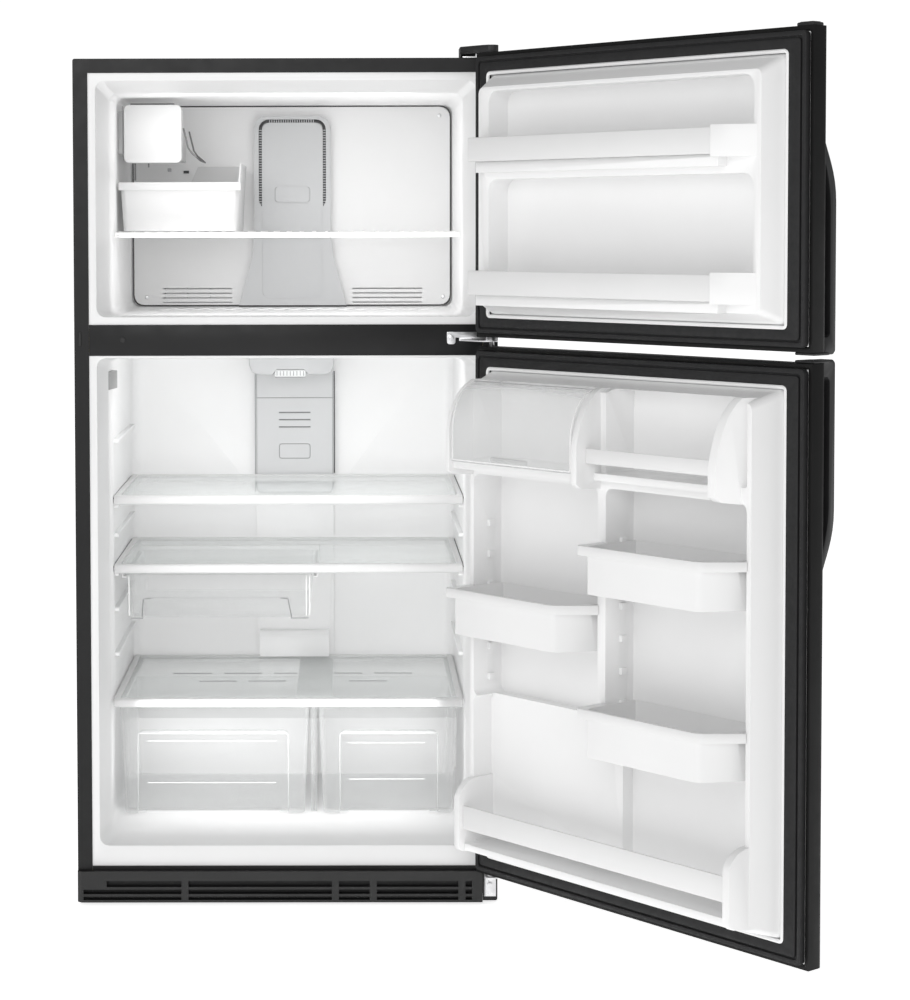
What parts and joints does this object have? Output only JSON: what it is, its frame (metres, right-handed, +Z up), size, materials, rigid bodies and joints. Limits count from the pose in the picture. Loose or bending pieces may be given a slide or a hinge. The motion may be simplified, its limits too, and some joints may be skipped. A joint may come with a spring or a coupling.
{
  "type": "top freezer refrigerator",
  "caption": "Upright refrigerator with a freezer on top, right-hinged doors standing open, shelves, clear drawers, door bins, an ice maker and curved black handles.",
  "frame": {"origin": "on the floor, below the middle of the box around the refrigerator with both doors open", "axes": "+Z up, -Y towards the person who stands at the food opening, +X towards the hinge side"},
  "size_m": [1.3676, 1.3942, 1.694],
  "materials": {
    "black_steel": "smooth semi-gloss black paint",
    "black_plastic": "satin black plastic",
    "black_gasket": "matt black vinyl",
    "white_liner": "vacuum-formed white plastic with a soft sheen",
    "white_plastic": "moulded white plastic",
    "white_coated_wire": "white vinyl-coated wire",
    "grey_plastic": "light grey moulded plastic",
    "switch_grey": "mid grey plastic",
    "clear_plastic": "clear polystyrene with faint grey-green edges",
    "shelf_glass": "clear tempered glass",
    "zinc": "zinc-plated steel",
    "galvanised": "galvanised sheet",
    "aluminium": "bare aluminium",
    "black_metal": "black enamel",
    "foam": "rigid polyurethane foam, hidden"
  },
  "bodies": {
    "cabinet": {"cabinet_wrapper": "black_steel", "cabinet_foam": "foam", "back_panel": "galvanised", "base_pan": "black_steel", "mullion_bar": "black_steel", "toe_grille": "black_plastic", "machine_cover": "galvanised", "freezer_liner": "white_liner", "fresh_food_liner": "white_liner", "top_hinge": "zinc", "hinge_cover": "black_plastic", "center_hinge": "zinc", "bottom_hinge": "zinc", "compressor": "black_metal", "condenser_coil": "black_metal", "condenser_fan_motor": "black_metal", "evaporator_cover": "white_plastic", "freezer_air_tower": "grey_plastic", "evaporator_coil": "aluminium", "evaporator_fan_motor": "black_metal", "wire_shelf": "white_coated_wire", "ice_maker": "white_plastic", "fresh_air_tower": "grey_plastic", "light_housing": "grey_plastic", "light_lens": "clear_plastic", "upper_shelf_frame": "white_plastic", "upper_shelf_glass": "shelf_glass", "middle_shelf_frame": "white_plastic", "middle_shelf_glass": "shelf_glass", "crisper_shelf_frame": "white_plastic", "crisper_shelf_glass": "shelf_glass", "deli_hanger": "white_plastic"},
    "freezer_door": {"freezer_door_skin": "black_steel", "freezer_door_liner": "white_liner", "freezer_door_gasket": "black_gasket", "freezer_door_rail_upper": "white_plastic", "freezer_door_rail_lower": "white_plastic", "freezer_door_handle": "black_plastic"},
    "fresh_door": {"fresh_door_skin": "black_steel", "fresh_door_liner": "white_liner", "fresh_door_gasket": "black_gasket", "fresh_door_handle": "black_plastic", "utility_rail": "white_plastic", "bottom_rail": "white_plastic"},
    "dairy_lid": {"dairy_lid": "clear_plastic"},
    "door_bin_left": {"door_bin_left": "white_plastic"},
    "door_bin_right_upper": {"door_bin_right_upper": "white_plastic"},
    "door_bin_right_lower": {"door_bin_right_lower": "white_plastic"},
    "crisper_left": {"crisper_left": "clear_plastic"},
    "crisper_right": {"crisper_right": "clear_plastic"},
    "deli_drawer": {"deli_drawer": "clear_plastic"},
    "ice_bin": {"ice_bin": "white_plastic"},
    "ice_maker_arm": {"ice_maker_arm": "galvanised"},
    "light_switch": {"light_switch": "switch_grey"},
    "condenser_fan": {"condenser_fan": "grey_plastic"},
    "evaporator_fan": {"evaporator_fan": "grey_plastic"},
    "front_foot_left": {"front_foot_left": "black_plastic"},
    "front_foot_right": {"front_foot_right": "black_plastic"},
    "rear_roller_left": {"rear_roller_left": "black_plastic"},
    "rear_roller_right": {"rear_roller_right": "black_plastic"}
  },
  "joints": [
    {"name": "door_freezer_swing", "type": "hinge", "parent": "cabinet", "child": "freezer_door", "pos_m": [0.13374, -0.03213, 1.404], "axis": [0, 0, 1], "range_deg": [-129.5, 5.5]},
    {"name": "door_fresh_food_swing", "type": "hinge", "parent": "cabinet", "child": "fresh_door", "pos_m": [0.13374, -0.03213, 0.594], "axis": [0, 0, 1], "range_deg": [-129.5, 5.5]},
    {"name": "crisper_left_pull", "type": "slide", "parent": "cabinet", "child": "crisper_left", "axis": [0, -1, 0], "range_m": [0, 0.25]},
    {"name": "crisper_right_pull", "type": "slide", "parent": "cabinet", "child": "crisper_right", "axis": [0, -1, 0], "range_m": [0, 0.25]},
    {"name": "deli_drawer_pull", "type": "slide", "parent": "cabinet", "child": "deli_drawer", "axis": [0, -1, 0], "range_m": [0, 0.25]},
    {"name": "dairy_lid_flip", "type": "hinge", "parent": "fresh_door", "child": "dairy_lid", "pos_m": [0.19253, -0.27073, 1.042], "axis": [-0.6361, 0.7716, 0], "range_deg": [0, 80]},
    {"name": "bin_left_lift", "type": "slide", "parent": "fresh_door", "child": "door_bin_left", "axis": [0, 0, 1], "range_m": [0, 0.03]},
    {"name": "bin_right_upper_lift", "type": "slide", "parent": "fresh_door", "child": "door_bin_right_upper", "axis": [0, 0, 1], "range_m": [0, 0.03]},
    {"name": "bin_right_lower_lift", "type": "slide", "parent": "fresh_door", "child": "door_bin_right_lower", "axis": [0, 0, 1], "range_m": [0, 0.03]},
    {"name": "ice_bin_pull", "type": "slide", "parent": "cabinet", "child": "ice_bin", "axis": [0, -1, 0], "range_m": [0, 0.15]},
    {"name": "ice_maker_arm_swing", "type": "hinge", "parent": "cabinet", "child": "ice_maker_arm", "pos_m": [-0.48126, 0.30827, 1.546], "axis": [0, -1, 0], "range_deg": [0, 40]},
    {"name": "light_switch_press", "type": "slide", "parent": "cabinet", "child": "light_switch", "axis": [-1, 0, 0], "range_m": [0, 0.006], "stiffness_N_per_m": 150, "springref_m": -0.001},
    {"name": "fan_condenser_spin", "type": "hinge", "parent": "cabinet", "child": "condenser_fan", "pos_m": [-0.33776, 0.60627, 0.126], "axis": [1, 0, 0], "continuous": true},
    {"name": "fan_evaporator_spin", "type": "hinge", "parent": "cabinet", "child": "evaporator_fan", "pos_m": [-0.26576, 0.57227, 1.488], "axis": [0, 1, 0], "continuous": true},
    {"name": "foot_left_turn", "type": "hinge", "parent": "cabinet", "child": "front_foot_left", "pos_m": [-0.63376, 0.05127, 0.028], "axis": [0, 0, 1], "continuous": true},
    {"name": "foot_right_turn", "type": "hinge", "parent": "cabinet", "child": "front_foot_right", "pos_m": [0.09824, 0.05127, 0.028], "axis": [0, 0, 1], "continuous": true},
    {"name": "roller_left_spin", "type": "hinge", "parent": "cabinet", "child": "rear_roller_left", "pos_m": [-0.60776, 0.64627, 0.022], "axis": [1, 0, 0], "continuous": true},
    {"name": "roller_right_spin", "type": "hinge", "parent": "cabinet", "child": "rear_roller_right", "pos_m": [0.07224, 0.64627, 0.022], "axis": [1, 0, 0], "continuous": true}
  ]
}
